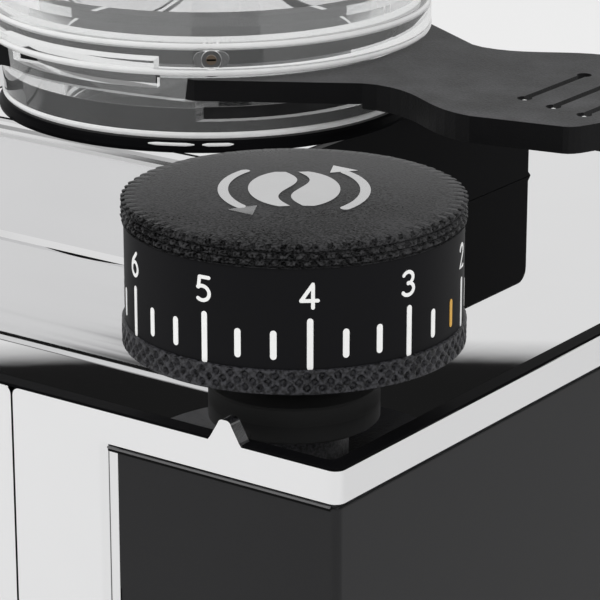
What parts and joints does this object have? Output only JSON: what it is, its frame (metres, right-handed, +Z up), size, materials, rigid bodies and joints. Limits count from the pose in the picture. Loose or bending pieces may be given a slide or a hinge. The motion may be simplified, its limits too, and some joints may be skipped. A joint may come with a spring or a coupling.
{
  "type": "burr coffee grinder",
  "caption": "Square on-demand coffee grinder with a numbered adjusting knob on its mirror deck, clear bean hopper with gate, spout and portafilter fork.",
  "frame": {"origin": "centre of the bounding box at the worktop, on the undersides of the feet", "axes": "+Z up; the spout, fork and display face -Y; +X is towards the adjusting knob"},
  "size_m": [0.19, 0.24, 0.4535],
  "materials": {
    "graphite_casting": "fine textured powder coat",
    "rubber_black": "matte",
    "tray_steel": "brushed",
    "frame_steel": "zinc plated sheet",
    "polished_chrome": "mirror polished",
    "panel_black": "satin black",
    "deck_mirror": "mirror polished",
    "gloss_black": "gloss",
    "screw_steel": "bright",
    "inlet_black": "moulded",
    "pin_brass": "bright",
    "window_tint": "tinted gloss",
    "board_green": "lacquered board",
    "button_steel": "turned",
    "nozzle_black": "moulded",
    "flap_silicone": "matte",
    "cast_aluminium": "cast",
    "burr_steel": "ground tool steel",
    "ring_brass": "machined",
    "idler_nylon": "natural nylon",
    "motor_alloy": "cast",
    "stator_copper": "varnished windings",
    "fan_black": "moulded",
    "capacitor_white": "moulded",
    "funnel_black": "moulded",
    "collar_black": "moulded",
    "knurl_black": "black anodised",
    "dial_black": "fine grained",
    "gasket_black": "matte",
    "clear_base": "thick clear plastic",
    "clear_hopper": "clear plastic",
    "gate_black": "fine grained",
    "lid_smoke": "tinted gloss",
    "lock_brass": "turned"
  },
  "bodies": {
    "case": {"base_casting": "graphite_casting", "feet": "rubber_black", "chassis_frame": "frame_steel", "corner_frame_right": "polished_chrome", "corner_frame_left": "polished_chrome", "front_fascia": "polished_chrome", "side_panel_right": "panel_black", "side_panel_left": "panel_black", "top_deck": "deck_mirror", "turret_cover": "polished_chrome", "turret_cheeks": "gloss_black", "back_panel": "panel_black", "case_screws": "screw_steel", "mains_inlet": "inlet_black", "inlet_pins": "pin_brass", "display_window": "window_tint", "display_board": "board_green", "spout_nozzle": "nozzle_black", "clump_flap": "flap_silicone", "discharge_chute": "cast_aluminium", "portafilter_fork": "polished_chrome", "grind_chamber": "cast_aluminium", "chamber_bolts": "screw_steel", "ring_retainer": "frame_steel", "gear_plate": "frame_steel", "motor_housing": "motor_alloy", "motor_stator": "stator_copper", "motor_bearings": "screw_steel", "run_capacitor": "capacitor_white", "control_board": "board_green", "bean_funnel": "funnel_black", "knob_collar": "collar_black", "hopper_gasket": "gasket_black"},
    "rotor": {"motor_rotor": "screw_steel", "cooling_fan": "fan_black", "lower_burr": "burr_steel", "lower_burr_carrier": "cast_aluminium", "lower_burr_screws": "screw_steel"},
    "carrier": {"upper_burr": "burr_steel", "upper_burr_carrier": "cast_aluminium", "upper_burr_screws": "screw_steel", "carrier_springs": "screw_steel"},
    "ring": {"adjusting_ring": "ring_brass"},
    "idler": {"idler_gear": "idler_nylon"},
    "knob": {"knob_shaft": "screw_steel", "knob_skirt": "knurl_black", "dial_band": "dial_black", "knob_cap": "knurl_black", "adjust_pinion": "ring_brass"},
    "hopper": {"hopper_base": "clear_base", "hopper_body": "clear_hopper", "hopper_lock_screw": "lock_brass"},
    "gate": {"gate_slider": "gate_black"},
    "lid": {"hopper_lid": "lid_smoke"},
    "tray": {"grounds_tray": "tray_steel"},
    "start": {"start_button": "nozzle_black"},
    "button_single": {"dose_button_single": "button_steel"},
    "button_double": {"dose_button_double": "button_steel"},
    "button_manual": {"dose_button_manual": "button_steel"},
    "rocker": {"power_rocker": "inlet_black"}
  },
  "joints": [
    {"name": "ring_turn", "type": "hinge", "parent": "case", "child": "ring", "pos_m": [0, 0.031, 0.256], "axis": [0, 0, 1], "range_deg": [-54.7, 54.7]},
    {"name": "knob_turn", "type": "hinge", "parent": "case", "child": "knob", "pos_m": [0.0685, -0.0385, 0.292], "axis": [0, 0, 1], "range_deg": [-170, 170]},
    {"name": "idler_turn", "type": "hinge", "parent": "case", "child": "idler", "pos_m": [0.0514, -0.00796, 0.256], "axis": [0, 0, 1], "range_deg": [-114, 114]},
    {"name": "carrier_lift", "type": "slide", "parent": "case", "child": "carrier", "axis": [0, 0, 1], "range_m": [-0.00023, 0.00023], "deforming": ["carrier_springs"]},
    {"name": "motor_spin", "type": "hinge", "parent": "case", "child": "rotor", "pos_m": [0, 0.031, 0.16], "axis": [0, 0, 1], "continuous": true},
    {"name": "hopper_lift", "type": "slide", "parent": "case", "child": "hopper", "axis": [0, 0, 1], "range_m": [0, 0.05]},
    {"name": "gate_slide", "type": "slide", "parent": "hopper", "child": "gate", "axis": [1, 0, 0], "range_m": [0, 0.045]},
    {"name": "lid_lift", "type": "slide", "parent": "hopper", "child": "lid", "axis": [0, 0, 1], "range_m": [0, 0.05]},
    {"name": "tray_lift", "type": "slide", "parent": "case", "child": "tray", "axis": [0, 0, 1], "range_m": [0, 0.03]},
    {"name": "start_press", "type": "slide", "parent": "case", "child": "start", "axis": [0, 1, 0], "range_m": [0, 0.003], "stiffness_N_per_m": 300, "springref_m": -0.001},
    {"name": "single_press", "type": "slide", "parent": "case", "child": "button_single", "axis": [0, 1, 0], "range_m": [0, 0.0015], "stiffness_N_per_m": 400, "springref_m": -0.001},
    {"name": "double_press", "type": "slide", "parent": "case", "child": "button_double", "axis": [0, 1, 0], "range_m": [0, 0.0015], "stiffness_N_per_m": 400, "springref_m": -0.001},
    {"name": "manual_press", "type": "slide", "parent": "case", "child": "button_manual", "axis": [0, 1, 0], "range_m": [0, 0.0015], "stiffness_N_per_m": 400, "springref_m": -0.001},
    {"name": "rocker_tilt", "type": "hinge", "parent": "case", "child": "rocker", "pos_m": [0.048, 0.112, 0.093], "axis": [1, 0, 0], "range_deg": [0, 9]}
  ],
  "couplings": [
    {"joint": "knob_turn", "follows": "ring_turn", "ratio": 3.1071},
    {"joint": "idler_turn", "follows": "ring_turn", "ratio": -2.0714},
    {"joint": "carrier_lift", "follows": "ring_turn", "m_per_rad": 0.00023873}
  ]
}
